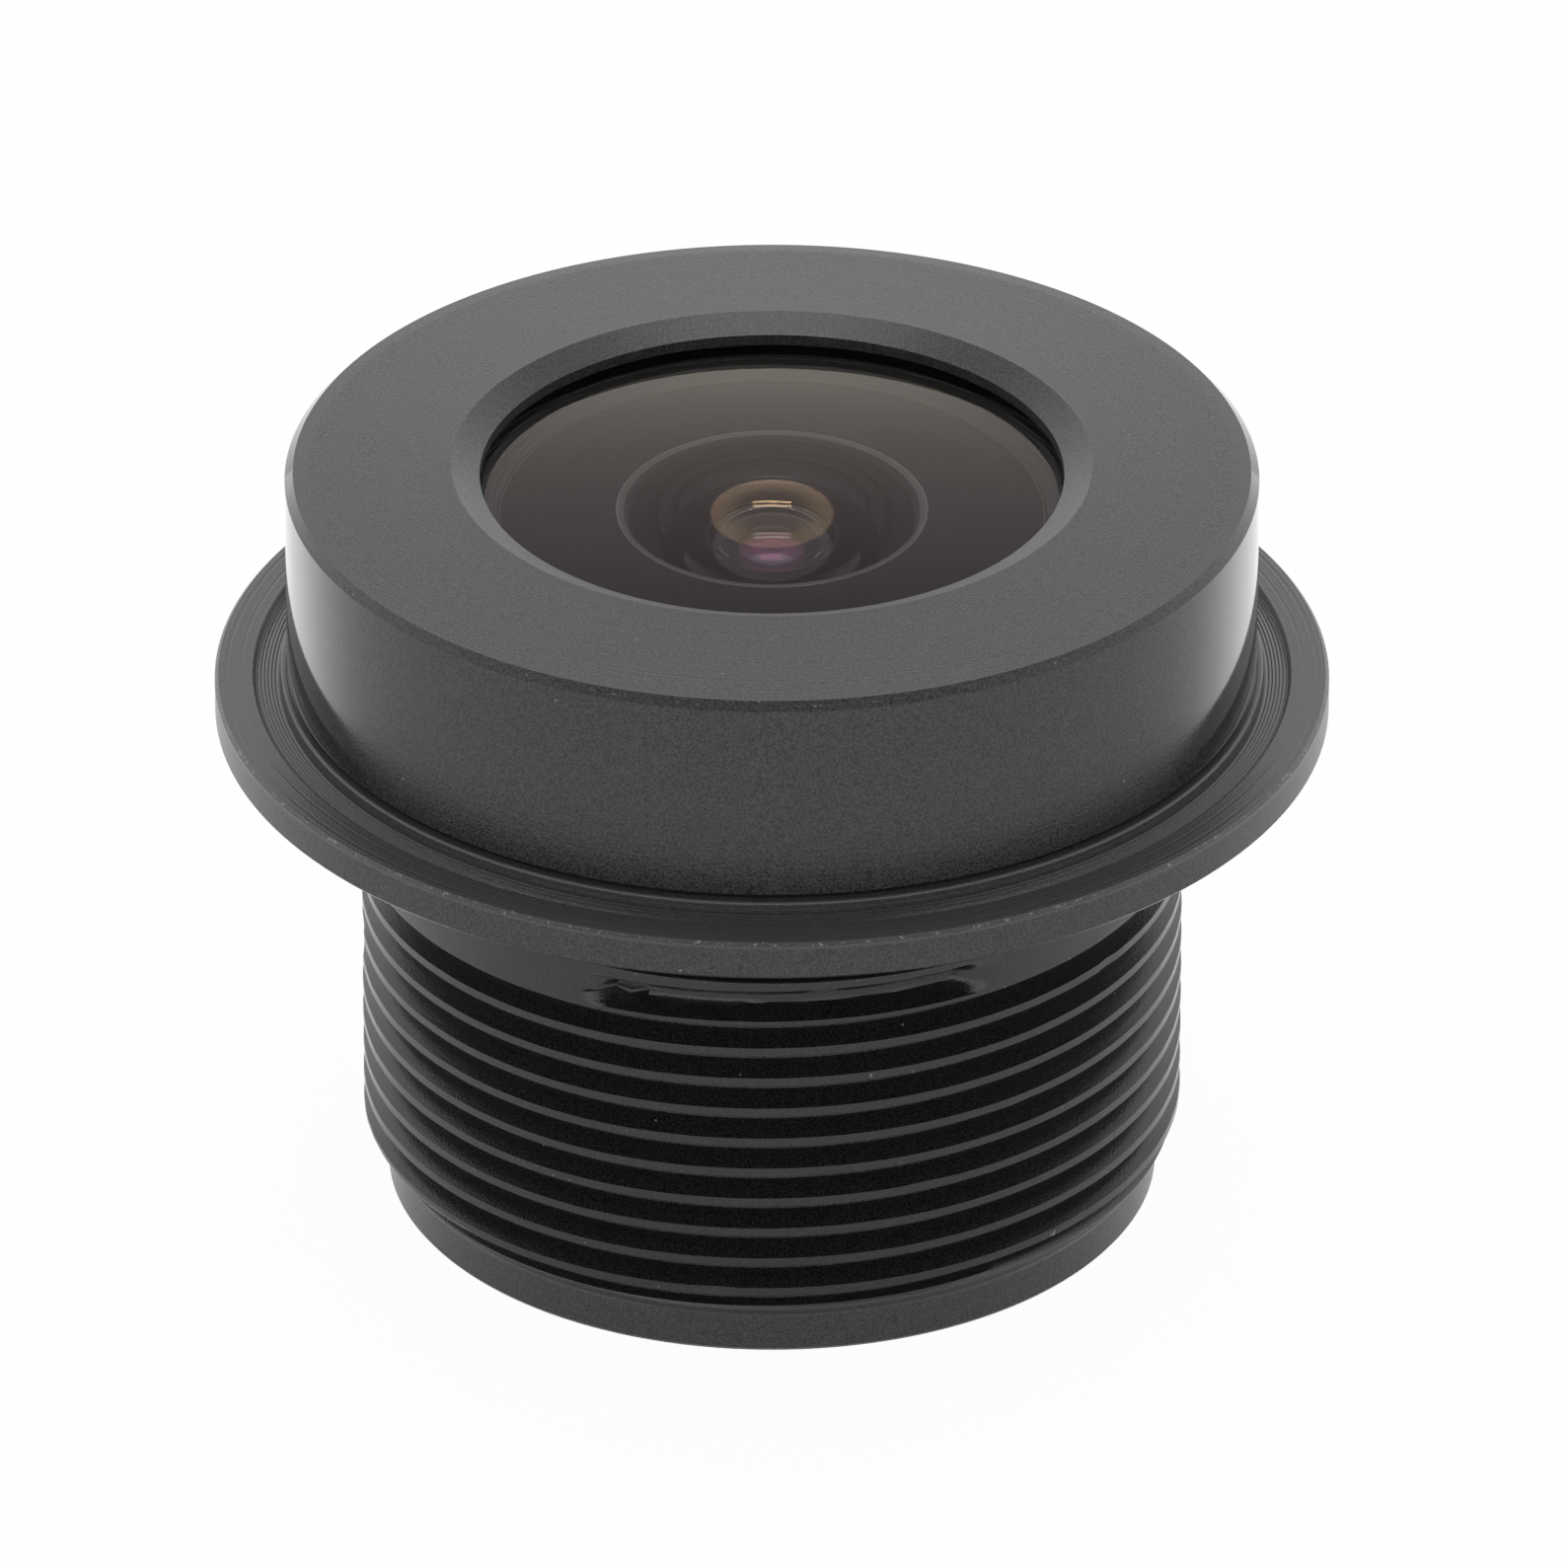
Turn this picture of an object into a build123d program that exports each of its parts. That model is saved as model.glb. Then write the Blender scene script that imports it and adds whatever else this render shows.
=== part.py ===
from build123d import *
import os
from math import asin, degrees, sqrt

os.makedirs("parts", exist_ok=True)

# A fixed-focus wide-angle lens for a board camera, in millimetres.
# +Z runs along the optical axis from the rear rim, at z = 0, towards the front glass.

# Shank with its M12 x 0.5 thread. The groove is as wide at its mouth as the real one but
# shallow, so that the crest cylinder keeps its wall. Its ends are in turns from groove_start_z.
thread_d = 12.0
thread_pitch = 0.5
groove_mouth = 0.28
groove_depth = 0.115
groove_start_z = 0.087
long_groove = (1.0, 11.33)
short_groove = (11.683, 11.833)
rear_land_r = 5.64
rear_land_top = 0.6
rim_edge = 0.05
lead_in_height = 0.5
shank_top = 6.37
undercut_r = 5.50

# Flange, with the band that the turned dial lines and the cap's foot leave free
flange_bottom = 7.61
flange_height = 0.59
flange_edge = 0.05
flange_band = 0.35
dial_width = 0.60
dial_depth = 0.05
shoulder_margin = 0.10
shoulder_height = 0.13

# Nose that carries the cap
nose_wall = 0.92
nose_below_lip = 0.558
nose_lead = 0.15

# Cap
cap_wall = 0.57
cap_foot_gap = 0.05
cap_fit = 0.03
cap_foot_lead = 0.12
cap_rim_above_lip = 0.342
cap_rim_edge = 0.09
cap_crown = 0.11
opening_r = 4.23
countersink_width = 0.41
countersink_depth = 0.18
lip_relief_height = 0.11
lip_relief_width = 0.42

# Fits of glass and rings in their bores
glass_fit = 0.03
ring_fit = 0.03
film = 0.05

# Front stack, from the stop upwards
web_top = 6.91
web_height = 0.46
web_opening_r = 1.60
stop_thickness = 0.10
stop_hole_r = 0.95
spacer_3_height = 0.11
spacer_3_hole_r = 2.10
element_3_r = 3.00
element_3_edge = 0.88
spacer_2_height = 0.45
spacer_2_hole_r = 2.05
baffle_2_hole_r = 1.35
element_2_r = 3.80
element_2_edge = 0.78
element_2_run_out = 0.20
spacer_1_height = 0.37
spacer_1_hole_r = 2.30
baffle_1_hole_r = 2.18
element_1_r = 5.50
element_1_edge = 1.458

# Rear stack, from the web downwards
element_4_r = 3.30
element_4_edge = 0.67
element_5_r = 2.20
element_5_centre = 0.62
spacer_4_height = 1.43
spacer_4_hole_r = 2.35
baffle_3_hole_r = 2.32
element_6_r = 3.30
element_6_edge = 0.72
retainer_r = 3.70
retainer_height = 0.78
retainer_hole_r = 2.60
retainer_slot_width = 0.80
retainer_slot_depth = 0.35
retainer_run_in = 0.10

# Filter at the rear
filter_r = 4.60
filter_thickness = 0.30
filter_seat_z = 0.73
filter_ring_height = 0.35
filter_ring_hole_r = 3.90

# Seal under the front glass
o_ring_r = 4.85
o_ring_width = 0.50
o_ring_height = 0.38
o_ring_side_gap = 0.05

# Ground surfaces: radius of curvature, with a minus where the centre lies in front,
# and the radius on which the surface meets its flat shoulder
front_1 = (31.0, 4.456)
rear_1 = (2.6, 2.0875)
front_2 = (5.0, 1.887)
rear_2 = (1.53, 1.285)
front_3 = (3.933, 1.919)
rear_3 = (13.451, 1.88)
front_4 = (-10.0, 1.63)
cement_4_5 = (-5.0, 2.00)
rear_5 = (-3.278, 1.95)
front_6 = (13.098, 2.28)
rear_6 = (-7.971, 2.30)

# Section of the thread's cutter, which stands a little out of its groove
thread_r = thread_d / 2
groove_root_r = thread_r - groove_depth
cutter_height = groove_depth * 1.25
cutter_r = groove_root_r + cutter_height
cutter_half_width = groove_mouth / 2 * cutter_height / groove_depth

# Radii of the barrel and the cap, outwards from the front glass
nose_r = element_1_r + glass_fit + nose_wall
cap_bore_r = nose_r + cap_fit
cap_r = cap_bore_r + cap_wall
shoulder_r = cap_r + shoulder_margin
dial_r = shoulder_r + dial_width
flange_r = dial_r + flange_band
countersink_r = opening_r + countersink_width

# Heights of the seats that follow from the stacks
stop_top = web_top + stop_thickness
element_3_seat = stop_top + spacer_3_height
element_3_top = element_3_seat + element_3_edge
spacer_2_top = element_3_top + spacer_2_height
element_2_seat = spacer_2_top + film
element_2_top = element_2_seat + element_2_edge
spacer_1_top = element_2_top + spacer_1_height
element_1_seat = spacer_1_top + film
lip_z = element_1_seat + element_1_edge

element_4_top = web_top - web_height
element_4_seat = element_4_top - element_4_edge
spacer_4_bottom = element_4_seat - spacer_4_height
element_6_top = spacer_4_bottom - film
element_6_seat = element_6_top - element_6_edge
retainer_bottom = element_6_seat - retainer_height
filter_bottom = filter_seat_z - filter_thickness
filter_ring_bottom = filter_bottom - filter_ring_height

# Heights of the barrel's outside and of the cap
flange_top = flange_bottom + flange_height
shoulder_top = flange_top + shoulder_height
nose_top = lip_z - nose_below_lip
cap_foot_z = shoulder_top + cap_foot_gap
cap_rim_z = lip_z + cap_rim_above_lip
cap_crown_z = cap_rim_z + cap_crown


def sag(surface):
    """Height of a ground surface at its centre above its shoulder."""
    radius, reach = surface
    rise = abs(radius) - sqrt(radius**2 - reach**2)
    return rise if radius > 0 else -rise


def ground_arc(surface, shoulder_z):
    """Half section of a ground surface, from the axis out to its shoulder."""
    radius, reach = surface
    centre = (0, shoulder_z + sag(surface) - radius)
    half_angle = degrees(asin(reach / abs(radius)))
    start_angle = 90 - half_angle if radius > 0 else -90
    return CenterArc(centre, abs(radius), start_angle, half_angle)


def ground_element(front, rear, outer_r, top, seat):
    """Glass element with a ground surface and a flat shoulder on each side."""
    with BuildPart() as element:
        with BuildSketch(Plane.XZ):
            with BuildLine():
                ground_arc(front, top)
                Polyline(
                    (front[1], top),
                    (outer_r, top),
                    (outer_r, seat),
                    (rear[1], seat),
                )
                ground_arc(rear, seat)
                Line((0, seat + sag(rear)), (0, top + sag(front)))
            make_face()
        revolve(axis=Axis.Z)
    return element


def plain_ring(hole_r, outer_r, bottom, top):
    """Turned ring, or thin disc or film with a hole."""
    with BuildPart() as ring:
        with BuildSketch(Plane.XY.offset(bottom)):
            Circle(outer_r)
            Circle(hole_r, mode=Mode.SUBTRACT)
        extrude(amount=top - bottom)
    return ring


# Barrel: one turned piece with shank, flange, nose and the seats of both stacks
with BuildPart() as barrel:
    with BuildSketch(Plane.XZ):
        with BuildLine():
            Polyline(
                (0, 0),
                (rear_land_r - rim_edge, 0),
                (rear_land_r, rim_edge),
                (rear_land_r, rear_land_top),
                (thread_r, rear_land_top + lead_in_height),
                (thread_r, shank_top),
                (undercut_r, shank_top),
                (undercut_r, flange_bottom),
                (flange_r - flange_edge, flange_bottom),
                (flange_r, flange_bottom + flange_edge),
                (flange_r, flange_top - flange_edge),
                (flange_r - flange_edge, flange_top),
                (dial_r, flange_top),
                (dial_r - dial_depth, flange_top - dial_depth),
                (shoulder_r, flange_top - dial_depth),
                (shoulder_r, shoulder_top),
                (nose_r, shoulder_top),
                (nose_r, nose_top - nose_lead),
                (nose_r - nose_lead, nose_top),
                (0, nose_top),
                close=True,
            )
        make_face()
    revolve(axis=Axis.Z)

    # Pockets bored from the front, down to the web that carries the stop
    for pocket_r, floor in (
        (element_1_r + glass_fit, element_1_seat),
        (element_2_r + glass_fit, element_2_seat - element_2_run_out),
        (element_3_r + glass_fit, web_top),
    ):
        with BuildSketch(Plane.XY.offset(nose_top)):
            Circle(pocket_r)
        extrude(amount=floor - nose_top, mode=Mode.SUBTRACT)

    # Pockets bored from the rear, up to the underside of the web, and the web's opening
    for pocket_r, roof in (
        (filter_r + glass_fit, filter_seat_z),
        (retainer_r + ring_fit, element_6_seat + retainer_run_in),
        (element_4_r + glass_fit, element_4_top),
        (web_opening_r, web_top),
    ):
        with BuildSketch(Plane.XY):
            Circle(pocket_r)
        extrude(amount=roof, mode=Mode.SUBTRACT)

    # Groove for the seal in the seat of the front glass
    with BuildSketch(Plane.XY.offset(element_1_seat)):
        Circle(o_ring_r + o_ring_width / 2 + o_ring_side_gap)
        Circle(o_ring_r - o_ring_width / 2 - o_ring_side_gap, mode=Mode.SUBTRACT)
    extrude(amount=-o_ring_height, mode=Mode.SUBTRACT)

    # Thread: one long groove, and a short one in front where the cutter touched again
    for first_turn, last_turn in (long_groove, short_groove):
        start = Plane.XY.offset(groove_start_z + thread_pitch * first_turn)
        start = start.rotated((0, 0, 360 * first_turn))
        height = thread_pitch * (last_turn - first_turn)
        helix = Helix(thread_pitch, height, thread_r, start.origin, mode=Mode.PRIVATE)
        path = helix.rotate(Axis.Z, 360 * first_turn)
        with BuildSketch(Plane(start.origin, start.x_dir, -start.y_dir)) as tooth:
            with BuildLine():
                Polyline(
                    (groove_root_r, 0),
                    (cutter_r, -cutter_half_width),
                    (cutter_r, cutter_half_width),
                    close=True,
                )
            make_face()
        sweep(
            sections=tooth.sketch,
            path=path,
            is_frenet=True,
            mode=Mode.SUBTRACT,
        )
barrel.part.label = "barrel"
export_step(barrel.part, "parts/barrel.step")

# Cap: turned ring with a shallow cone face and a countersunk opening
with BuildPart() as front_cap:
    with BuildSketch(Plane.XZ):
        with BuildLine():
            Polyline(
                (cap_r, cap_foot_z),
                (cap_r, cap_rim_z - cap_rim_edge),
                (cap_r - cap_rim_edge, cap_rim_z),
                (countersink_r, cap_crown_z),
                (opening_r, cap_crown_z - countersink_depth),
                (opening_r, lip_z + lip_relief_height),
                (opening_r + lip_relief_width, lip_z),
                (cap_bore_r, lip_z),
                (cap_bore_r, cap_foot_z + cap_foot_lead),
                (cap_bore_r + cap_foot_lead, cap_foot_z),
                close=True,
            )
        make_face()
    revolve(axis=Axis.Z)
front_cap.part.label = "front_cap"
export_step(front_cap.part, "parts/front_cap.step")

# Seal: cord squeezed flat between its groove and the front glass
with BuildPart() as front_o_ring:
    with BuildSketch(Plane.XZ):
        with Locations((o_ring_r, element_1_seat - o_ring_height / 2)):
            Rectangle(o_ring_width, o_ring_height)
    revolve(axis=Axis.Z)
front_o_ring.part.label = "front_o_ring"
export_step(front_o_ring.part, "parts/front_o_ring.step")

# Glass of both stacks, from front to rear
element_5_seat = element_4_seat + sag(cement_4_5) - element_5_centre - sag(rear_5)
elements = {
    "lens_element_1": ground_element(
        front_1, rear_1, element_1_r, lip_z, element_1_seat
    ),
    "lens_element_2": ground_element(
        front_2, rear_2, element_2_r, element_2_top, element_2_seat
    ),
    "lens_element_3": ground_element(
        front_3, rear_3, element_3_r, element_3_top, element_3_seat
    ),
    "lens_element_4": ground_element(
        front_4, cement_4_5, element_4_r, element_4_top, element_4_seat
    ),
    "lens_element_5": ground_element(
        cement_4_5, rear_5, element_5_r, element_4_seat, element_5_seat
    ),
    "lens_element_6": ground_element(
        front_6, rear_6, element_6_r, element_6_top, element_6_seat
    ),
}
for name, element in elements.items():
    element.part.label = name
    export_step(element.part, "parts/" + name + ".step")

# Rings and blackened films that space the glass and cut stray light, from front to rear
rings = {
    "light_baffle_1": plain_ring(
        baffle_1_hole_r, element_2_r, spacer_1_top, element_1_seat
    ),
    "spacer_ring_1": plain_ring(
        spacer_1_hole_r, element_2_r, element_2_top, spacer_1_top
    ),
    "light_baffle_2": plain_ring(
        baffle_2_hole_r, element_3_r, spacer_2_top, element_2_seat
    ),
    "spacer_ring_2": plain_ring(
        spacer_2_hole_r, element_3_r, element_3_top, spacer_2_top
    ),
    "spacer_ring_3": plain_ring(
        spacer_3_hole_r, element_3_r, stop_top, element_3_seat
    ),
    "aperture_stop": plain_ring(stop_hole_r, element_3_r, web_top, stop_top),
    "spacer_ring_4": plain_ring(
        spacer_4_hole_r, element_4_r, spacer_4_bottom, element_4_seat
    ),
    "light_baffle_3": plain_ring(
        baffle_3_hole_r, element_4_r, element_6_top, spacer_4_bottom
    ),
    "filter_ring": plain_ring(
        filter_ring_hole_r, filter_r, filter_ring_bottom, filter_bottom
    ),
}
for name, ring in rings.items():
    ring.part.label = name
    export_step(ring.part, "parts/" + name + ".step")

# Retaining ring behind the last element, with a slot across it for the spanner
with BuildPart() as rear_retaining_ring:
    with BuildSketch(Plane.XY.offset(retainer_bottom)):
        Circle(retainer_r)
        Circle(retainer_hole_r, mode=Mode.SUBTRACT)
    extrude(amount=retainer_height)
    with BuildSketch(Plane.XY.offset(retainer_bottom)):
        Rectangle(2 * retainer_r + retainer_slot_width, retainer_slot_width)
    extrude(amount=retainer_slot_depth, mode=Mode.SUBTRACT)
rear_retaining_ring.part.label = "rear_retaining_ring"
export_step(rear_retaining_ring.part, "parts/rear_retaining_ring.step")

# Filter: flat coated glass seated in the rear of the barrel
with BuildPart() as ir_cut_filter:
    with BuildSketch(Plane.XY.offset(filter_bottom)):
        Circle(filter_r)
    extrude(amount=filter_thickness)
ir_cut_filter.part.label = "ir_cut_filter"
export_step(ir_cut_filter.part, "parts/ir_cut_filter.step")
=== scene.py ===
from math import asin, atan2, cos, hypot, pi, radians, sin, sqrt, tau

import bmesh
import bpy
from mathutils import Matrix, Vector, noise


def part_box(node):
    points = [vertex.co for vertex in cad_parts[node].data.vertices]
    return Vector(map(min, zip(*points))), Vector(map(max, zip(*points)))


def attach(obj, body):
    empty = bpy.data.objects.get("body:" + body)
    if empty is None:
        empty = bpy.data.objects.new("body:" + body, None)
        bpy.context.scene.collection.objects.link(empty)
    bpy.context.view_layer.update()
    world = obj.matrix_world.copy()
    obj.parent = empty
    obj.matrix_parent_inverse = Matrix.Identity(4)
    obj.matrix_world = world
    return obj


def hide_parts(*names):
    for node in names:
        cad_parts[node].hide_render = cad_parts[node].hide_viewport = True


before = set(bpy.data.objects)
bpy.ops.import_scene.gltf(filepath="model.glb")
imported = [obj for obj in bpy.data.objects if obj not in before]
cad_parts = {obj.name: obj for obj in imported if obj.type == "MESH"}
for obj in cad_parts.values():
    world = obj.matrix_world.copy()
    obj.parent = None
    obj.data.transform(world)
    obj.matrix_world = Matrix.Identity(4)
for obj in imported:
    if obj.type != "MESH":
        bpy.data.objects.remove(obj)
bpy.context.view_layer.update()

mm = 0.001

# Viewpoint: a long lens close to the table and looking down on the object, so that its
# near and far sides keep almost the same size. The frame is shifted a little off its centre.
aim = Vector((0, 0, 6 * mm))
camera_distance = 300 * mm
camera_tilt = radians(29.337)
photo_width = 1589
aim_pixel = (782.3, 810.5)
camera_data = bpy.data.cameras.new("photo_camera")
camera_data.sensor_width = 36
camera_data.lens = 472.02
camera_data.clip_start = 0.01
camera_data.shift_x = 0.5 - aim_pixel[0] / photo_width
camera_data.shift_y = aim_pixel[1] / photo_width - 0.5
camera = bpy.data.objects.new("photo_camera", camera_data)
camera.location = aim + camera_distance * Vector((0, -cos(camera_tilt), sin(camera_tilt)))
camera.rotation_euler = (pi / 2 - camera_tilt, 0, 0)
scene = bpy.context.scene
scene.collection.objects.link(camera)
scene.camera = camera
scene.view_settings.view_transform = "Standard"
scene.cycles.max_bounces = 24
scene.cycles.transmission_bounces = 24
scene.cycles.glossy_bounces = 8


# Studio: a white tent of light round the object, and a pale sheet on the table under it.
# The sheet shows white to the camera and keeps the soft shadow at the foot of the lens.
def place(tree, kind, inputs=None, **properties):
    """Node of that kind in the tree, with its inputs set or linked."""
    node = tree.nodes.new("ShaderNode" + kind)
    for key, value in properties.items():
        setattr(node, key, value)
    for key, value in (inputs or {}).items():
        if isinstance(value, bpy.types.NodeSocket):
            tree.links.new(value, node.inputs[key])
        else:
            node.inputs[key].default_value = value
    return node


def new_tree(material):
    """Emptied node tree of a material or world."""
    material.use_nodes = True
    material.node_tree.nodes.clear()
    return material.node_tree


def sum_up(tree, operation, first, second, third=None):
    """Output of one sum on plain values or sockets."""
    values = {0: first, 1: second}
    if third is not None:
        values[2] = third
    return place(tree, "Math", values, operation=operation).outputs[0]


def between(tree, value, low, high):
    """Value from 0 at low to 1 at high, with soft ends."""
    node = place(
        tree,
        "MapRange",
        {"Value": value, "From Min": low, "From Max": high},
        interpolation_type="SMOOTHSTEP",
    )
    return node.outputs[0]


tent_white = (1.0, 1.0, 1.0, 1)
tent_bands = (
    (0.0, 1.6),
    (0.28, 1.55),
    (0.36, 1.32),
    (0.43, 1.20),
    (0.50, 1.16),
    (0.57, 1.12),
    (0.66, 0.98),
    (0.75, 0.60),
    (0.85, 0.33),
    (1.0, 0.28),
)
tent_top = 1.6
tent = bpy.data.worlds.new("white_tent")
scene.world = tent
tree = new_tree(tent)
sky = place(tree, "TexCoord")
split = place(tree, "SeparateXYZ", {0: sky.outputs["Generated"]})
bands = place(tree, "ValToRGB", {0: split.outputs["Z"]})
for position, level in tent_bands[1:-1]:
    bands.color_ramp.elements.new(position)
for stop, (position, level) in zip(bands.color_ramp.elements, tent_bands):
    stop.position = position
    stop.color = (level / tent_top, level / tent_top, level / tent_top, 1)
light = place(tree, "Background", {"Color": bands.outputs[0], "Strength": tent_top})
place(tree, "OutputWorld", {"Surface": light.outputs[0]})

# Two tube lamps side by side, high up and a little behind the lens
lamp_distance = 400 * mm
lamp_rise = radians(77)
tube_length = 280 * mm
tube_width = 28 * mm
tube_spacing = 52 * mm
tube_power = 0.19
lamp_spot = aim + lamp_distance * Vector((0, cos(lamp_rise), sin(lamp_rise)))
for side in (-1, 1):
    tube = bpy.data.lights.new("tube_lamp", "AREA")
    tube.shape = "RECTANGLE"
    tube.size = tube_length
    tube.size_y = tube_width
    tube.energy = tube_power
    tube_object = bpy.data.objects.new("tube_lamp", tube)
    tube_object.location = lamp_spot + side * tube_spacing / 2 * Vector(
        (0, sin(lamp_rise), -cos(lamp_rise))
    )
    tube_object.rotation_euler = (lamp_rise - pi / 2, 0, 0)
    scene.collection.objects.link(tube_object)

# The sheet glows only where it is looked at, and nowhere under the lens itself. In the gloss
# of the lens it is brighter behind than in front, because most of the light is behind.
sheet_size = 600 * mm
sheet_white = (0.93, 0.93, 0.93, 1)
glow_seen = 0.96
glow_front = 0.34
back_lit = (-12 * mm, 6 * mm)
foot_r = 5.6 * mm
paper = bpy.data.materials.new("paper_sheet")
tree = new_tree(paper)
path = place(tree, "LightPath")
seen = sum_up(
    tree, "MAXIMUM", path.outputs["Is Camera Ray"], path.outputs["Is Transmission Ray"]
)
seen = sum_up(tree, "MULTIPLY", seen, glow_seen)
spot = place(tree, "TexCoord").outputs["Object"]
split = place(tree, "SeparateXYZ", {0: spot})
behind = between(tree, split.outputs[1], *back_lit)
mirrored = sum_up(tree, "MULTIPLY_ADD", behind, 1 - glow_front, glow_front)
mirrored = sum_up(tree, "MULTIPLY", path.outputs["Is Glossy Ray"], mirrored)
share = sum_up(tree, "MAXIMUM", seen, mirrored)
reach = place(tree, "VectorMath", {0: spot}, operation="LENGTH").outputs["Value"]
share = sum_up(tree, "MULTIPLY", share, sum_up(tree, "GREATER_THAN", reach, foot_r))
cloth = place(tree, "BsdfDiffuse", {"Color": sheet_white})
glow = place(tree, "Emission", {"Color": tent_white, "Strength": 1.0})
both = place(tree, "MixShader", {0: share, 1: cloth.outputs[0], 2: glow.outputs[0]})
place(tree, "OutputMaterial", {"Surface": both.outputs[0]})
bm = bmesh.new()
bmesh.ops.create_grid(bm, x_segments=1, y_segments=1, size=sheet_size)
sheet_mesh = bpy.data.meshes.new("paper_sheet")
bm.to_mesh(sheet_mesh)
bm.free()
sheet_mesh.materials.append(paper)
sheet = bpy.data.objects.new("paper_sheet", sheet_mesh)
scene.collection.objects.link(sheet)

# Barrel: one turned piece of aluminium, blasted and dyed black, with the shank, the flange
# and the seats inside. Its M12 x 0.5 thread is cut last, from the rear rim up to the neck.
round_steps = 192
turned_crease = radians(12)


def new_group(name, inputs, outputs):
    """Empty node group, with its input node and a call that sends values out."""
    group = bpy.data.node_groups.new(name, "ShaderNodeTree")
    for label, value in inputs.items():
        socket = group.interface.new_socket(label, in_out="INPUT", socket_type="NodeSocketFloat")
        socket.default_value = value
    for label in outputs:
        group.interface.new_socket(label, in_out="OUTPUT", socket_type="NodeSocketFloat")
    given = group.nodes.new("NodeGroupInput").outputs
    sent = group.nodes.new("NodeGroupOutput").inputs
    return group, given, sent


def use(tree, group, **values):
    """That node group in the tree of a material, with its own values."""
    node = tree.nodes.new("ShaderNodeGroup")
    node.node_tree = group
    for label, value in values.items():
        node.inputs[label.replace("_", " ")].default_value = value
    return node


def blend(tree, share, first, second):
    """Colour between two colours or sockets."""
    node = place(tree, "Mix", {0: share, 6: first, 7: second}, data_type="RGBA")
    return node.outputs[2]


def from_axis(tree, spot):
    """Distance of a place on a piece from the lens axis, and its height."""
    split = place(tree, "SeparateXYZ", {0: spot})
    flat = place(tree, "CombineXYZ", {0: split.outputs[0], 1: split.outputs[1]})
    radius = place(tree, "VectorMath", {0: flat.outputs[0]}, operation="LENGTH").outputs[1]
    return radius, split.outputs[2]


# Grain that the blasting leaves, as fine pits all over
blast_grain, given, sent = new_group("blast_grain", {"Per Metre": 30000}, ("Pits",))
spot = place(blast_grain, "TexCoord").outputs["Object"]
pits = place(
    blast_grain,
    "TexNoise",
    {"Vector": spot, "Scale": given["Per Metre"], "Detail": 1.0, "Roughness": 0.6},
)
blast_grain.links.new(between(blast_grain, pits.outputs[0], 0.32, 0.68), sent["Pits"])

# Dust that has settled: a few tiny pale specks
dust, given, sent = new_group("dust", {"Per Metre": 1500, "Speck": 0.03}, ("Specks",))
spot = place(dust, "TexCoord").outputs["Object"]
cells = place(dust, "TexVoronoi", {"Vector": spot, "Scale": given["Per Metre"]})
specks = sum_up(dust, "LESS_THAN", cells.outputs["Distance"], given["Speck"])
dust.links.new(specks, sent["Specks"])

# Fine rings that the turning tool leaves, one after the other outwards and upwards
turning_marks, given, sent = new_group("turning_marks", {"Spacing": 0.05 * mm}, ("Rings",))
spot = place(turning_marks, "TexCoord").outputs["Object"]
along = sum_up(turning_marks, "ADD", *from_axis(turning_marks, spot))
count = sum_up(turning_marks, "DIVIDE", along, given["Spacing"])
rings = place(
    turning_marks, "TexNoise", {"W": count, "Scale": 1.0, "Detail": 1.0}, noise_dimensions="1D"
)
turning_marks.links.new(rings.outputs[0], sent["Rings"])

# Wear along a turned edge, which lies at a radius and a height: pale chips in an uneven line
worn_edge, given, sent = new_group(
    "worn_edge",
    {"Radius": 1.0, "Height": 1.0, "Height Counts": 1.0, "Reach": 0.06 * mm, "Cover": 0.5},
    ("Chips",),
)
spot = place(worn_edge, "TexCoord").outputs["Object"]
radius, height = from_axis(worn_edge, spot)
aside = sum_up(worn_edge, "SUBTRACT", radius, given["Radius"])
above = sum_up(worn_edge, "SUBTRACT", height, given["Height"])
above = sum_up(worn_edge, "MULTIPLY", above, given["Height Counts"])
away = place(worn_edge, "CombineXYZ", {0: aside, 1: above})
away = place(worn_edge, "VectorMath", {0: away.outputs[0]}, operation="LENGTH").outputs[1]
near = sum_up(worn_edge, "SUBTRACT", 1.0, sum_up(worn_edge, "DIVIDE", away, given["Reach"]))
ragged = place(
    worn_edge, "TexNoise", {"Vector": spot, "Scale": 9000, "Detail": 4.0, "Roughness": 0.75}
)
limit = sum_up(worn_edge, "SUBTRACT", 1.25, given["Cover"])
chips = sum_up(worn_edge, "ADD", sum_up(worn_edge, "MULTIPLY", near, 0.55), ragged.outputs[0])
top = sum_up(worn_edge, "ADD", limit, 0.06)
chips = between(worn_edge, chips, limit, top)
near_enough = between(worn_edge, near, 0.0, 0.2)
worn_edge.links.new(sum_up(worn_edge, "MULTIPLY", chips, near_enough), sent["Chips"])


def material(name, base_color, roughness, ior=1.55, **more):
    """Material with one Principled shader, and its tree and shader to build on."""
    made = bpy.data.materials.new(name)
    tree = new_tree(made)
    shader = place(tree, "BsdfPrincipled")
    place(tree, "OutputMaterial", {"Surface": shader.outputs[0]})
    shader.inputs["Base Color"].default_value = (*base_color, 1)
    shader.inputs["Roughness"].default_value = roughness
    shader.inputs["IOR"].default_value = ior
    for key, value in more.items():
        shader.inputs[key.replace("_", " ")].default_value = value
    return made, tree, shader


def chain(bm, points):
    """Edges that join the points of a half section, given as radius and height."""
    verts = [bm.verts.new((radius, 0, height)) for radius, height in points]
    for pair in zip(verts, verts[1:]):
        bm.edges.new(pair)
    return verts


def spin_round(bm, steps=round_steps):
    """One full turn of the half section round the lens axis."""
    bmesh.ops.spin(
        bm,
        geom=bm.verts[:] + bm.edges[:],
        cent=(0, 0, 0),
        axis=(0, 0, 1),
        angle=tau,
        steps=steps,
        use_merge=True,
    )
    bmesh.ops.remove_doubles(bm, verts=bm.verts, dist=1e-7)


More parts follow.
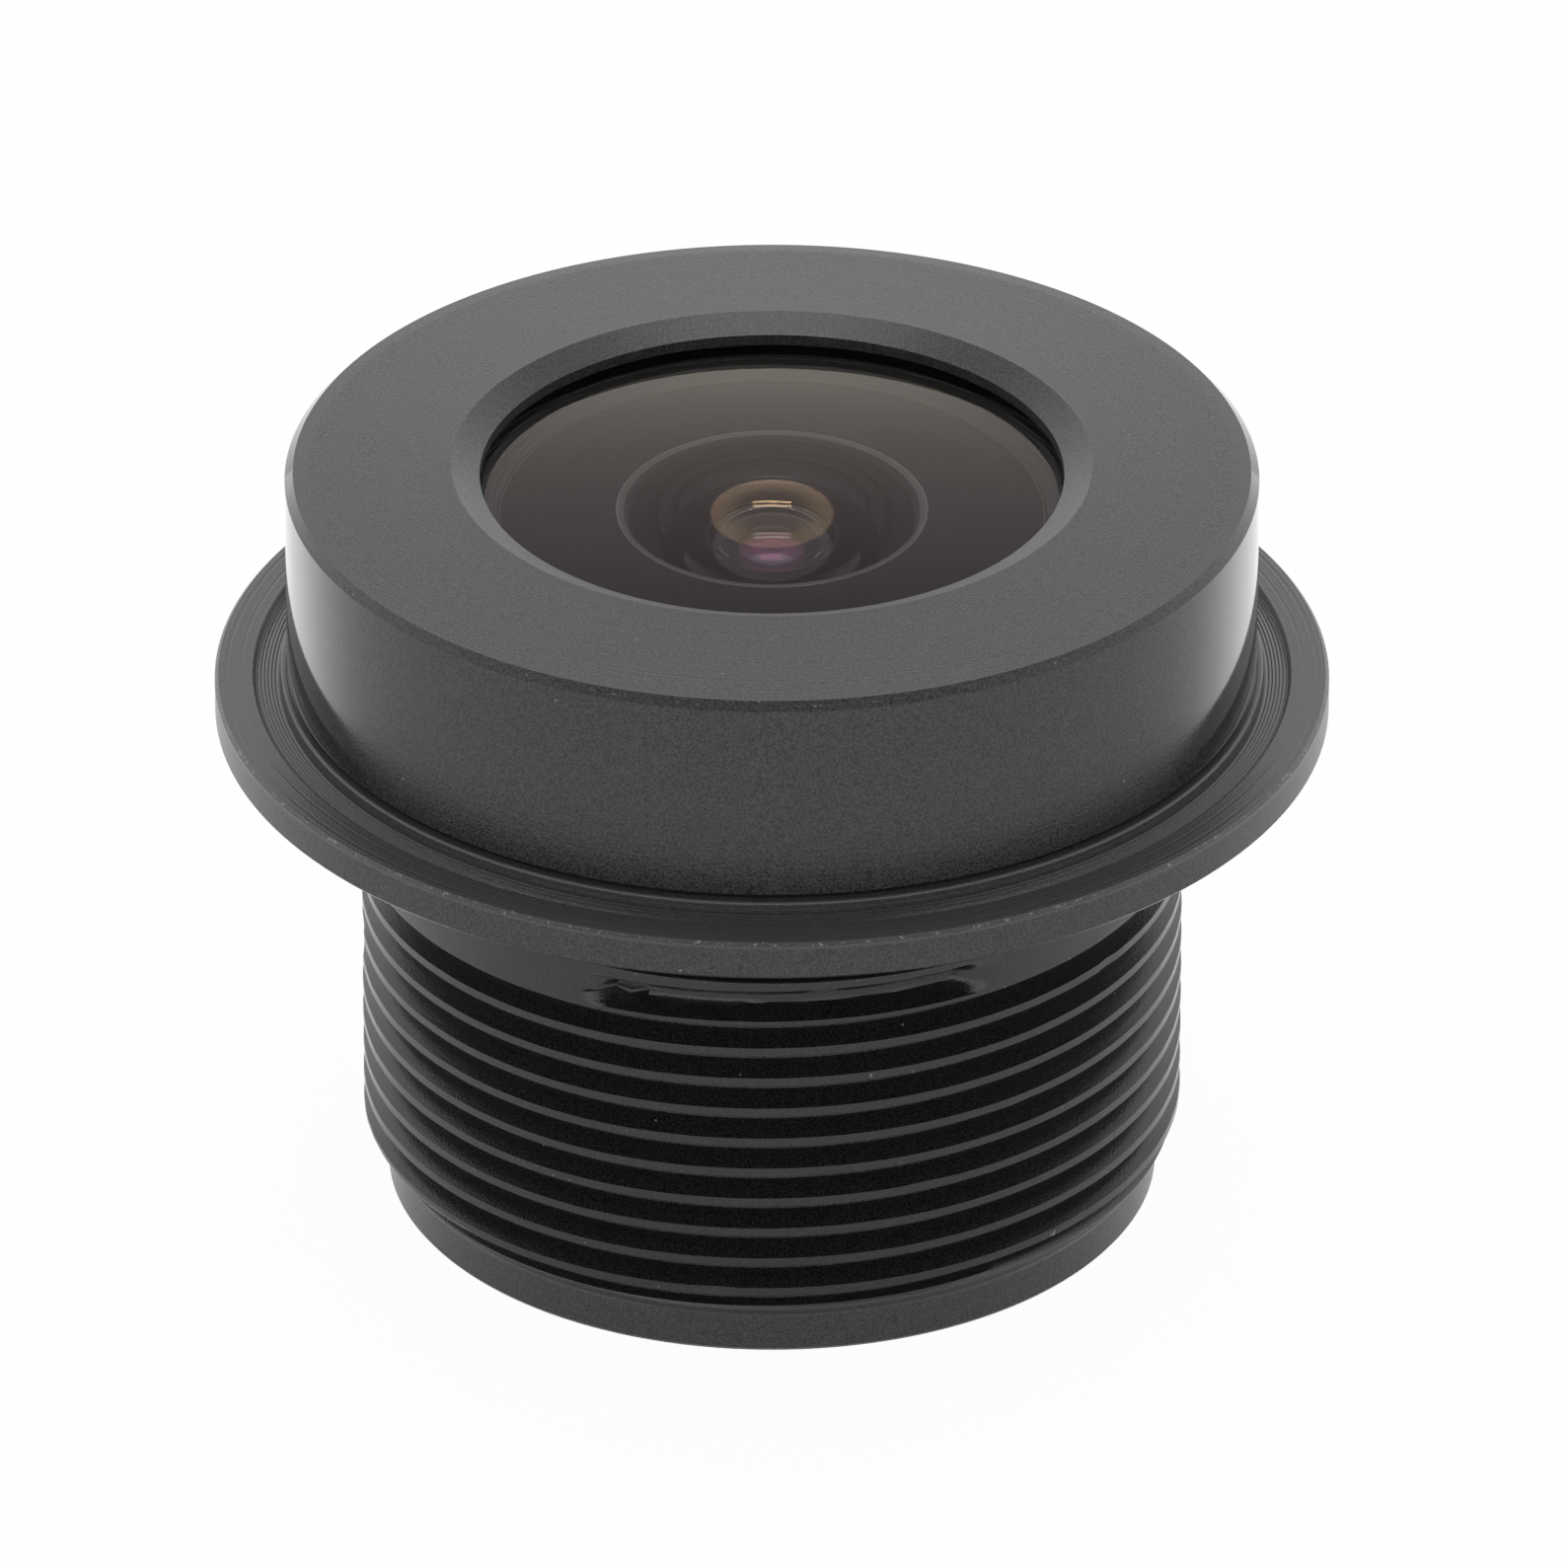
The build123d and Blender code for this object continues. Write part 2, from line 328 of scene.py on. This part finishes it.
def crease(bm, limit):
    """Smooth faces, with a crisp edge wherever two of them meet at more than the limit."""
    for face in bm.faces:
        face.smooth = True
    for edge in bm.edges:
        edge.smooth = edge.calc_face_angle(0) < limit


def hand_over(bm, name, node, slot, *materials):
    """Object of the finished mesh, which stands for a solid of the frame."""
    bmesh.ops.recalc_face_normals(bm, faces=bm.faces)
    mesh = bpy.data.meshes.new(name)
    bm.to_mesh(mesh)
    bm.free()
    for made in materials:
        mesh.materials.append(made)
    piece = bpy.data.objects.new(name, mesh)
    scene.collection.objects.link(piece)
    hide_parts(node)
    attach(piece, "root")
    return piece


barrel_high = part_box("barrel")[1]
filter_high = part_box("ir_cut_filter")[1]
retainer_low, retainer_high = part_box("rear_retaining_ring")
glass_4_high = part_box("lens_element_4")[1]
stop_low, stop_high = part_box("aperture_stop")
film_1_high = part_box("light_baffle_1")[1]
film_2_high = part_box("light_baffle_2")[1]
glass_1_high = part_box("lens_element_1")[1]
seal_low, seal_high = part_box("front_o_ring")

thread_r = 6.0 * mm
thread_pitch = 0.5 * mm
thread_depth = 0.30 * mm
thread_start = 0.087 * mm
thread_turns = 11.33
land_r = 5.64 * mm
land_top = 0.6 * mm
cone_top = 1.1 * mm
undercut_r = 5.50 * mm
shank_top = 6.37 * mm
flange_low = 7.61 * mm
flange_top = 8.20 * mm
flange_edge = 0.05 * mm
dial_r = 7.55 * mm
shoulder_r = 7.15 * mm
shoulder_top = 8.33 * mm
shoulder_edge = 0.03 * mm
nose_r = 6.45 * mm
nose_lead = 0.15 * mm
fit = 0.03 * mm
rim_edge = 0.05 * mm
web_low = 6.45 * mm
web_opening_r = 1.60 * mm
seal_gap = 0.05 * mm
flange_r = barrel_high.x
nose_top = barrel_high.z
seat_1 = film_1_high.z
front_pocket_r = glass_1_high.x + fit
middle_pocket_r = film_1_high.x + fit
inner_pocket_r = stop_high.x + fit
rear_pocket_r = glass_4_high.x + fit
retainer_pocket_r = retainer_high.x + fit
filter_pocket_r = filter_high.x + fit
middle_floor = film_2_high.z - 0.2 * mm
retainer_roof = retainer_high.z + 0.1 * mm
thread_foot = 0.30 * mm
thread_head = 6.30 * mm
thread_middle = 3 * mm
thread_lip = 0.02 * mm
seal_pocket_r = 4.55 * mm

# fine lines turned into the sunk floor beside the cap's foot
dial_depth = 0.05 * mm
dial_floor = flange_top - dial_depth
line_count = 6
line_pitch = 0.052 * mm
line_depth = 0.012 * mm
first_line_r = dial_r - 0.06 * mm
dial_lines = []
for line in range(line_count):
    outer = first_line_r - line * line_pitch
    dial_lines.append((outer, dial_floor))
    dial_lines.append((outer - 0.30 * line_pitch, dial_floor - line_depth))
    dial_lines.append((outer - 0.9 * line_pitch, dial_floor))

bm = bmesh.new()
chain(
    bm,
    [
        (thread_r, thread_head + thread_lip),
        (thread_r, shank_top - thread_lip),
        (thread_r - thread_lip, shank_top),
        (undercut_r, shank_top),
        (undercut_r, flange_low),
        (flange_r - flange_edge, flange_low),
        (flange_r, flange_low + flange_edge),
        (flange_r, flange_top - flange_edge),
        (flange_r - flange_edge, flange_top),
        (dial_r, flange_top),
        (dial_r - dial_depth, dial_floor),
        *dial_lines,
        (shoulder_r, dial_floor),
        (shoulder_r, shoulder_top - shoulder_edge),
        (shoulder_r - 0.01 * mm, shoulder_top - 0.012 * mm),
        (shoulder_r - shoulder_edge, shoulder_top),
        (nose_r, shoulder_top),
        (nose_r, nose_top - nose_lead),
        (nose_r - nose_lead, nose_top),
        (front_pocket_r, nose_top),
        (front_pocket_r, seat_1),
        (seal_high.x + seal_gap, seat_1),
        (seal_high.x + seal_gap, seal_low.z),
        (seal_pocket_r, seal_low.z),
        (seal_pocket_r, seat_1),
        (middle_pocket_r, seat_1),
        (middle_pocket_r, middle_floor),
        (inner_pocket_r, middle_floor),
        (inner_pocket_r, stop_low.z),
        (web_opening_r, stop_low.z),
        (web_opening_r, web_low),
        (rear_pocket_r, web_low),
        (rear_pocket_r, retainer_roof),
        (retainer_pocket_r, retainer_roof),
        (retainer_pocket_r, filter_high.z),
        (filter_pocket_r, filter_high.z),
        (filter_pocket_r, 0),
        (land_r - rim_edge, 0),
        (land_r, rim_edge),
        (land_r, thread_foot - thread_lip),
    ],
)
spin_round(bm)
crease(bm, turned_crease)

# the long cut runs out below the neck, and a short one starts again above it: all in turns
# of the helix
run_out = 0.04
short_from = 11.6
short_start = 11.683
short_end = 11.833
short_lead_in = 0.01
short_lead_out = 0.006
short_waver = 0.02

# half section of one groove, as distance from its middle and share of its full depth
groove = (
    (0, 1),
    (0.02, 1),
    (0.04, 0.92),
    (0.09, 0.609),
    (0.14, 0.298),
    (0.188, 0),
    (0.215, 0),
    (0.25, 0),
)


def groove_share(distance):
    """Share of the full depth at a distance from the middle of the groove, in millimetres."""
    for (near, deep), (far, shallow) in zip(groove, groove[1:]):
        if distance <= far:
            return deep + (shallow - deep) * (distance - near) / (far - near)
    return 0


def groove_reach(turn, ragged):
    """Share of the depth that the tool has at that turn of the helix, in its two cuts."""
    long_cut = min(1, max(0, (thread_turns - turn) / run_out))
    start = short_start + short_waver * ragged
    lead_in = max(0, (turn - start) / short_lead_in)
    lead_out = max(0, (short_end - turn) / short_lead_out)
    return max(long_cut, min(1, lead_in, lead_out))


def shank_radius(height):
    """Radius of the blank: rear land, lead-in cone and crest cylinder."""
    share = (height - land_top) / (cone_top - land_top)
    return land_r + (thread_r - land_r) * min(1, max(0, share))


thread_crease = radians(40)
thread_steps = 160
thread_rows = 14
thread_skin = 0.004 * mm
burr_height = 0.006 * mm
burr_size = 0.35 * mm
nick_depth = 0.12 * mm
nick_size = 0.8 * mm
nick_limit = 0.52
ragged_size = 0.20 * mm
short_widening = 0.06
short_ragged = 0.03
offsets = sorted({d for d, share in groove} | {-d for d, share in groove})
thread = bmesh.new()
first_turn = -1
chain(
    thread,
    [(thread_r, thread_start + first_turn * thread_pitch + d * mm) for d in offsets],
)
bmesh.ops.spin(
    thread,
    geom=thread.verts[:] + thread.edges[:],
    cent=(0, 0, 0),
    axis=(0, 0, 1),
    dvec=(0, 0, thread_pitch / thread_steps),
    angle=tau,
    steps=thread_steps,
)
one_turn = thread.verts[:] + thread.edges[:] + thread.faces[:]
for row in range(1, thread_rows):
    copied = bmesh.ops.duplicate(thread, geom=one_turn)
    bmesh.ops.translate(
        thread,
        verts=[item for item in copied["geom"] if isinstance(item, bmesh.types.BMVert)],
        vec=(0, 0, row * thread_pitch),
    )
bmesh.ops.remove_doubles(thread, verts=thread.verts, dist=2e-7)
for vert in thread.verts:
    x, y, z = vert.co
    turn = (z - thread_start) / thread_pitch
    azimuth = (atan2(y, x) / tau) % 1
    nearest = round(turn - azimuth) + azimuth
    distance = abs(turn - nearest) * thread_pitch / mm
    ragged = noise.noise(vert.co / ragged_size)
    if nearest > short_from:
        distance = max(0, distance - short_widening + short_ragged * ragged)
    deep = groove_share(distance)
    root = thread_r - thread_depth * deep * groove_reach(nearest, ragged)
    burr = burr_height * noise.noise(vert.co / burr_size)
    nick = nick_depth * max(0, noise.noise(vert.co / nick_size) - nick_limit)
    radius = min(root + (burr - nick) * (1 - deep) - thread_skin, shank_radius(z))
    vert.co = (radius * cos(tau * azimuth), radius * sin(tau * azimuth), z)
for height, side in ((thread_head, 1), (thread_foot, -1)):
    bmesh.ops.bisect_plane(
        thread,
        geom=thread.verts[:] + thread.edges[:] + thread.faces[:],
        plane_co=(0, 0, height),
        plane_no=(0, 0, side),
        clear_outer=True,
    )
crease(thread, thread_crease)
thread_mesh = bpy.data.meshes.new("thread")
thread.to_mesh(thread_mesh)
thread.free()
bm.from_mesh(thread_mesh)
bpy.data.meshes.remove(thread_mesh)
rims = [edge for edge in bm.edges if edge.is_boundary]
upper = [edge for edge in rims if edge.verts[0].co.z > thread_middle]
lower = [edge for edge in rims if edge.verts[0].co.z < thread_middle]
bmesh.ops.bridge_loops(bm, edges=upper)
bmesh.ops.bridge_loops(bm, edges=lower)

# the dyed layer is smoother in its gloss where it is seen at a slant
grain_height = 0.004 * mm
pit_share = 0.35
ring_share = 0.35
dust_share = 0.7
worn_roughness = 0.15
polish_slant = (0.42, 0.68)
polish_calms = 1.25
least_grain = 0.05
lacquer_slant = (0.5, 0.8)
lacquer_roughness = 0.06
lacquer_fade = 0.2 * mm
turned_fade = 0.02 * mm
# painted sheen: the turned top face of the flange is painted lighter for the light it catches from
# above
top_sheen_share = 0.38
painted_top_sheen = (0.075, 0.077, 0.080, 1)


def anodise(name, dull, sheen, roughness, glaze, rub, edges, turned=None, lacquer=None):
    """Black anodised aluminium with its grain, turning marks, dust and worn edges.

    Each edge has a radius, a height, whether the height counts, a reach and a cover. A
    turned face has its height and how much deeper its marks are. Lacquer has its weight
    and the radius from which it lies on the piece.
    """
    made, tree, shader = material(name, dull, roughness, 1.6, Specular_IOR_Level=0.45)
    grain = use(tree, blast_grain)
    marks = use(tree, turning_marks)
    worn = sum_up(tree, "MULTIPLY", use(tree, dust).outputs["Specks"], dust_share)
    for radius, height, counts, reach, cover in edges:
        edge = use(
            tree,
            worn_edge,
            Radius=radius,
            Height=height,
            Height_Counts=counts,
            Reach=reach,
            Cover=cover,
        )
        worn = sum_up(tree, "MAXIMUM", worn, edge.outputs["Chips"])
    color = blend(tree, grain.outputs["Pits"], (*dull, 1), (*sheen, 1))
    color = blend(tree, worn, color, (*rub, 1))
    slant = place(tree, "LayerWeight", {"Blend": 0.5}).outputs["Facing"]
    polish = between(tree, slant, *polish_slant)
    if lacquer is not None:
        weight, inner_r = lacquer
        radius = from_axis(tree, place(tree, "TexCoord").outputs["Object"])[0]
        outside = between(tree, radius, inner_r, inner_r + lacquer_fade)
        polish = sum_up(tree, "MULTIPLY", polish, outside)
        film = sum_up(tree, "MULTIPLY", between(tree, slant, *lacquer_slant), outside)
        tree.links.new(sum_up(tree, "MULTIPLY", film, weight), shader.inputs["Coat Weight"])
        shader.inputs["Coat Roughness"].default_value = lacquer_roughness
    uneven = sum_up(tree, "MULTIPLY_ADD", polish, glaze - roughness, roughness)
    uneven = sum_up(tree, "MULTIPLY_ADD", worn, worn_roughness, uneven)
    tree.links.new(uneven, shader.inputs["Roughness"])
    cut = ring_share
    calm = sum_up(tree, "MULTIPLY_ADD", polish, polish_calms * (glaze / roughness - 1), 1.0)
    calm = sum_up(tree, "MAXIMUM", calm, least_grain)
    if turned is not None:
        floor, more = turned
        above = from_axis(tree, place(tree, "TexCoord").outputs["Object"])[1]
        face = between(tree, above, floor, floor + turned_fade)
        cut = sum_up(tree, "MULTIPLY_ADD", face, more, ring_share)
        # above that height the colour is painted lighter, a painted sheen on the top face, while
        # its deeper turning marks are real
        top_sheen = sum_up(tree, "MULTIPLY", face, top_sheen_share)
        color = blend(tree, top_sheen, color, painted_top_sheen)
    tree.links.new(color, shader.inputs["Base Color"])
    height = sum_up(tree, "MULTIPLY", marks.outputs["Rings"], cut)
    height = sum_up(tree, "MULTIPLY_ADD", grain.outputs["Pits"], pit_share, height)
    height = sum_up(tree, "MULTIPLY", height, calm)
    bump = place(tree, "Bump", {"Height": height, "Strength": 1.0, "Distance": grain_height})
    tree.links.new(bump.outputs[0], shader.inputs["Normal"])
    return made


anodised_body = anodise(
    "anodised_body",
    (0.002, 0.0025, 0.003),
    (0.031, 0.032, 0.034),
    0.32,
    0.26,
    (0.20, 0.205, 0.21),
    (
        (flange_r, flange_top, 1.0, 0.10 * mm, 0.35),
        (flange_r, flange_low, 1.0, 0.06 * mm, 0.30),
        (dial_r, flange_top, 1.0, 0.05 * mm, 0.16),
        (land_r, 0, 1.0, 0.06 * mm, 0.14),
    ),
    (flange_top - 0.10 * mm, 2.2),
)
# the thread has a darker copy of the body's finish: painted shade for its deep grooves, while the
# chips along its crests are wear
shaded_anodised_thread = anodise(
    "shaded_anodised_thread",
    (0.001, 0.001, 0.0012),
    (0.011, 0.0115, 0.012),
    0.24,
    0.18,
    (0.16, 0.165, 0.17),
    ((thread_r, thread_middle, 0.0, 0.03 * mm, 0.10),),
)
barrel_piece = hand_over(
    bm, "turned_barrel", "barrel", "black_anodised_body", anodised_body, shaded_anodised_thread
)
thread_slot = 1
thread_hull_r = 6.05 * mm
for face in barrel_piece.data.polygons:
    radius = hypot(face.center.x, face.center.y)
    if radius < thread_hull_r and land_top < face.center.z < flange_low:
        face.material_index = thread_slot


# Filter: thin glass with a coating against infrared light, seated in the rear of the barrel
# and held by a flat black step ring. The slotted ring behind it closes the stack of glass.
def dress(nodes, made):
    """That finish on nodes of the frame whose own shape stays."""
    for node in nodes:
        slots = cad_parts[node].data.materials
        slots.clear()
        slots.append(made)


filter_glass, tree, shader = material(
    "filter_glass", (0.75, 0.93, 0.95), 0.0, 1.5168, Transmission_Weight=1.0
)
spot = place(tree, "TexCoord").outputs["Object"]
smear = place(tree, "TexNoise", {"Vector": spot, "Scale": 900, "Detail": 3.0}).outputs[0]
smear = between(tree, smear, 0.35, 0.75)
tint = blend(tree, smear, (0.73, 0.93, 0.955, 1), (0.78, 0.93, 0.94, 1))
tree.links.new(tint, shader.inputs["Base Color"])
tree.links.new(sum_up(tree, "MULTIPLY", smear, 0.03), shader.inputs["Roughness"])
dress(("ir_cut_filter",), filter_glass)
ring_low, ring_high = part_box("filter_ring")
anodised_ring = anodise(
    "anodised_ring",
    (0.003, 0.003, 0.0035),
    (0.026, 0.027, 0.028),
    0.38,
    0.30,
    (0.14, 0.145, 0.15),
    (
        (ring_high.x, ring_low.z, 1.0, 0.05 * mm, 0.14),
        (retainer_high.x, retainer_low.z, 1.0, 0.05 * mm, 0.14),
    ),
)
dress(("filter_ring", "rear_retaining_ring"), anodised_ring)


# Rings, films, stop and seal: moulded black spacers between the elements, thin blackened
# discs that keep stray light off the sensor, and a black rubber seal under the front glass.
def dull_black(name, dark, pale, roughness, per_metre, nodes):
    """Matt black finish with a fine grain, on these nodes of the frame."""
    made, tree, shader = material(name, dark, roughness)
    grain = use(tree, blast_grain, Per_Metre=per_metre)
    tree.links.new(
        blend(tree, grain.outputs["Pits"], (*dark, 1), (*pale, 1)), shader.inputs["Base Color"]
    )
    uneven = sum_up(tree, "MULTIPLY_ADD", grain.outputs["Pits"], 0.12, roughness - 0.06)
    tree.links.new(uneven, shader.inputs["Roughness"])
    bump = place(
        tree, "Bump", {"Height": grain.outputs["Pits"], "Strength": 1.0, "Distance": 0.003 * mm}
    )
    tree.links.new(bump.outputs[0], shader.inputs["Normal"])
    dress(nodes, made)


dull_black(
    "moulded_spacer",
    (0.006, 0.006, 0.006),
    (0.018, 0.0175, 0.017),
    0.55,
    9000,
    ("spacer_ring_1", "spacer_ring_2", "spacer_ring_3", "spacer_ring_4"),
)
dull_black(
    "baffle_film",
    (0.004, 0.004, 0.004),
    (0.013, 0.0125, 0.012),
    0.65,
    20000,
    ("light_baffle_1", "light_baffle_2", "light_baffle_3"),
)
dull_black(
    "blackened_stop", (0.004, 0.004, 0.005), (0.014, 0.014, 0.016), 0.45, 14000, ("aperture_stop",)
)
dull_black(
    "seal_rubber", (0.005, 0.005, 0.005), (0.016, 0.016, 0.0155), 0.75, 5000, ("front_o_ring",)
)


# Glass: six ground and polished elements with anti-reflection coatings, stacked from the
# rear to the front. Elements 4 and 5 are cemented together.
def ground_surface(bm, radius, reach, shoulder, steps=24):
    """Half section of a ground surface, from its centre out to its shoulder."""
    rise = abs(radius) - sqrt(radius**2 - reach**2)
    sag = rise if radius > 0 else -rise
    centre = Vector((0, 0, shoulder + sag - radius))
    vert = bm.verts.new(centre + Vector((0, 0, radius)))
    turned = bmesh.ops.spin(
        bm,
        geom=[vert],
        cent=centre,
        axis=(0, 1, 0),
        angle=asin(reach / radius),
        steps=steps,
    )
    return [item for item in turned["geom_last"] if isinstance(item, bmesh.types.BMVert)][0]


def ground_glass(name, node, slot, front, rear, outer_r, top, seat, *materials):
    """Element with a ground surface and a flat shoulder on each side.

    Each surface has its radius of curvature, positive where its centre lies below, and its
    reach from the axis, both in millimetres.
    """
    bevel = 0.10 * mm
    bm = bmesh.new()
    first = ground_surface(bm, front[0] * mm, front[1] * mm, top)
    last = ground_surface(bm, rear[0] * mm, rear[1] * mm, seat)
    rim = chain(
        bm,
        [
            (outer_r - bevel, top),
            (outer_r, top - bevel),
            (outer_r, seat + bevel),
            (outer_r - bevel, seat),
        ],
    )
    bm.edges.new((first, rim[0]))
    bm.edges.new((rim[-1], last))
    spin_round(bm, 128)
    crease(bm, radians(20))
    piece = hand_over(bm, name, node, slot, *materials)
    for face in piece.data.polygons:
        face.material_index = 0 if face.normal.z > 0 else 1
    return piece


def coated_glass(name, ior, tint, film=1.0, film_ior=1.38):
    """Clear glass under a coating so many nanometres thick, which tints its reflections.

    A film of one nanometre changes nothing but lets the tint reach all of the reflection.
    """
    made, tree, shader = material(
        name,
        (1, 1, 1),
        0.0,
        ior,
        Transmission_Weight=1.0,
        Thin_Film_Thickness=film,
        Thin_Film_IOR=film_ior,
    )
    shader.inputs["Specular Tint"].default_value = (*tint, 1)
    return made


spacer_1_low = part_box("spacer_ring_1")[0]
spacer_2_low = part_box("spacer_ring_2")[0]
spacer_3_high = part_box("spacer_ring_3")[1]
spacer_4_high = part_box("spacer_ring_4")[1]
film_3_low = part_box("light_baffle_3")[0]
glass_5_low, glass_5_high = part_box("lens_element_5")
cement_gap = 0.003 * mm

rear_crown_front = coated_glass("rear_crown_front", 1.618, (1.0, 0.80, 0.92))
rear_crown_back = coated_glass("rear_crown_back", 1.618, (0.60, 0.15, 0.30))
ground_glass(
    "rear_glass",
    "lens_element_6",
    "inner_glass",
    (13.098, 2.28),
    (-7.971, 2.30),
    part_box("lens_element_6")[1].x,
    film_3_low.z,
    retainer_high.z,
    rear_crown_front,
    rear_crown_back,
)
flint_joint = coated_glass("flint_joint", 1.8467, (0.15, 0.15, 0.15))
flint_back = coated_glass("flint_back", 1.8467, (0.26, 0.04, 0.11))
flint_rear = (-3.278, 1.95)
flint_rise = (3.278 - sqrt(3.278**2 - 1.95**2)) * mm
ground_glass(
    "cemented_flint",
    "lens_element_5",
    "inner_glass",
    (-5.0, 2.00),
    flint_rear,
    glass_5_high.x,
    spacer_4_high.z - cement_gap,
    glass_5_low.z + flint_rise,
    flint_joint,
    flint_back,
)
crown_front = coated_glass("crown_front", 1.618, (0.30, 0.06, 0.13))
crown_joint = coated_glass("crown_joint", 1.618, (0.15, 0.15, 0.15))
ground_glass(
    "cemented_crown",
    "lens_element_4",
    "inner_glass",
    (-10.0, 1.63),
    (-5.0, 2.00),
    glass_4_high.x,
    web_low,
    spacer_4_high.z,
    crown_front,
    crown_joint,
)
middle_front = coated_glass("middle_front", 1.8467, (0.26, 0.04, 0.11))
middle_back = coated_glass("middle_back", 1.8467, (0.26, 0.04, 0.11))
ground_glass(
    "middle_glass",
    "lens_element_3",
    "inner_glass",
    (3.933, 1.919),
    (13.451, 1.88),
    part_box("lens_element_3")[1].x,
    spacer_2_low.z,
    spacer_3_high.z,
    middle_front,
    middle_back,
)
second_front = coated_glass("second_front", 1.531, (0.42, 0.39, 0.35))
second_back = coated_glass("second_back", 1.531, (0.10, 0.07, 0.06))
ground_glass(
    "second_glass",
    "lens_element_2",
    "inner_glass",
    (5.0, 1.887),
    (1.53, 1.285),
    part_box("lens_element_2")[1].x,
    spacer_1_low.z,
    film_2_high.z,
    second_front,
    second_back,
)

# Front glass: the large meniscus, with a shallow dome in front and a deep bowl behind. Its
# flat rear shoulder and its edge are ground and painted with black ink.
cap_low, cap_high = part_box("front_cap")
lip = seat_1 + 1.458 * mm
dome_coat = coated_glass("dome_coat", 1.7725, (0.90, 1.0, 0.90), 112.0, 1.42)
bowl_coat = coated_glass("bowl_coat", 1.7725, (0.50, 0.27, 0.08), 77.0, 2.0)
bowl_edge_r = 2.12 * mm
dark_ink = (0.082, 0.080, 0.073, 1)
pale_ink = (0.160, 0.157, 0.146, 1)
# painted glow: the ink is painted paler towards the edge of the bowl, for the light that glows
# round that edge
dark_glow_ink = (0.150, 0.149, 0.145, 1)
pale_glow_ink = (0.235, 0.232, 0.226, 1)
bevel_white = (0.15, 0.148, 0.145, 1)
painted_glow_band = (bowl_edge_r, bowl_edge_r + 0.6 * mm)
bevel_band = (bowl_edge_r + 0.015 * mm, bowl_edge_r + 0.035 * mm)
edge_ink, tree, shader = material(
    "edge_ink", (0.048, 0.039, 0.034), 0.8, Specular_IOR_Level=0.0
)
grain = use(tree, blast_grain)
radius = from_axis(tree, place(tree, "TexCoord").outputs["Object"])[0]
ink = blend(tree, grain.outputs["Pits"], dark_ink, pale_ink)
painted_glow_ink = blend(tree, grain.outputs["Pits"], dark_glow_ink, pale_glow_ink)
# paler ink near the bowl's edge is a painted glow of light
ink = blend(tree, between(tree, radius, *painted_glow_band), painted_glow_ink, ink)
ink = blend(tree, between(tree, radius, *bevel_band), bevel_white, ink)
tree.links.new(ink, shader.inputs["Base Color"])
front_piece = ground_glass(
    "front_glass",
    "lens_element_1",
    "front_glass",
    (31.0, 4.456),
    (2.6, 2.0875),
    glass_1_high.x,
    lip,
    seat_1,
    dome_coat,
    bowl_coat,
    edge_ink,
)
inked_slot = 2
inked_edge_r = glass_1_high.x - 0.12 * mm
for face in front_piece.data.polygons:
    radius = hypot(face.center.x, face.center.y)
    on_shoulder = radius > bowl_edge_r and face.center.z < seat_1 + 0.01 * mm
    if on_shoulder or radius > inked_edge_r:
        face.material_index = inked_slot

# Cap: a turned ring, screwed and glued on the nose of the barrel over the front glass, with a
# shallow cone face that is countersunk round the opening.
cap_bore_r = nose_r + fit
opening_r = 4.23 * mm
countersink_r = 4.64 * mm
countersink_depth = 0.18 * mm
opening_lead = (0.42 * mm, 0.11 * mm)
crown = cap_high.z
cap_rim = crown - 0.11 * mm
rim_bevel = 0.12 * mm
foot_edge = 0.03 * mm
foot_lead = 0.12 * mm
anodised_cap = anodise(
    "anodised_cap",
    (0.002, 0.0025, 0.003),
    (0.033, 0.034, 0.036),
    0.34,
    0.07,
    (0.16, 0.165, 0.17),
    (
        (cap_high.x - rim_bevel / 2, cap_rim - rim_bevel / 2, 1.0, 0.09 * mm, 0.14),
        (countersink_r, crown, 1.0, 0.06 * mm, 0.08),
        (opening_r, crown - countersink_depth, 1.0, 0.05 * mm, 0.08),
        (cap_high.x, cap_low.z, 1.0, 0.06 * mm, 0.12),
    ),
    lacquer=(0.9, cap_high.x - 0.4 * mm),
)
bm = bmesh.new()
ring = chain(
    bm,
    [
        (cap_high.x - foot_edge, cap_low.z),
        (cap_high.x, cap_low.z + foot_edge),
        (cap_high.x, cap_rim - rim_bevel),
        (cap_high.x - rim_bevel, cap_rim),
        (countersink_r, crown),
        (opening_r, crown - countersink_depth),
        (opening_r, lip + opening_lead[1]),
        (opening_r + opening_lead[0], lip),
        (cap_bore_r, lip),
        (cap_bore_r, cap_low.z + foot_lead),
        (cap_bore_r + foot_lead, cap_low.z),
    ],
)
bm.edges.new((ring[-1], ring[0]))
spin_round(bm)
crease(bm, turned_crease)
hand_over(bm, "turned_cap", "front_cap", "black_anodised_cap", anodised_cap)
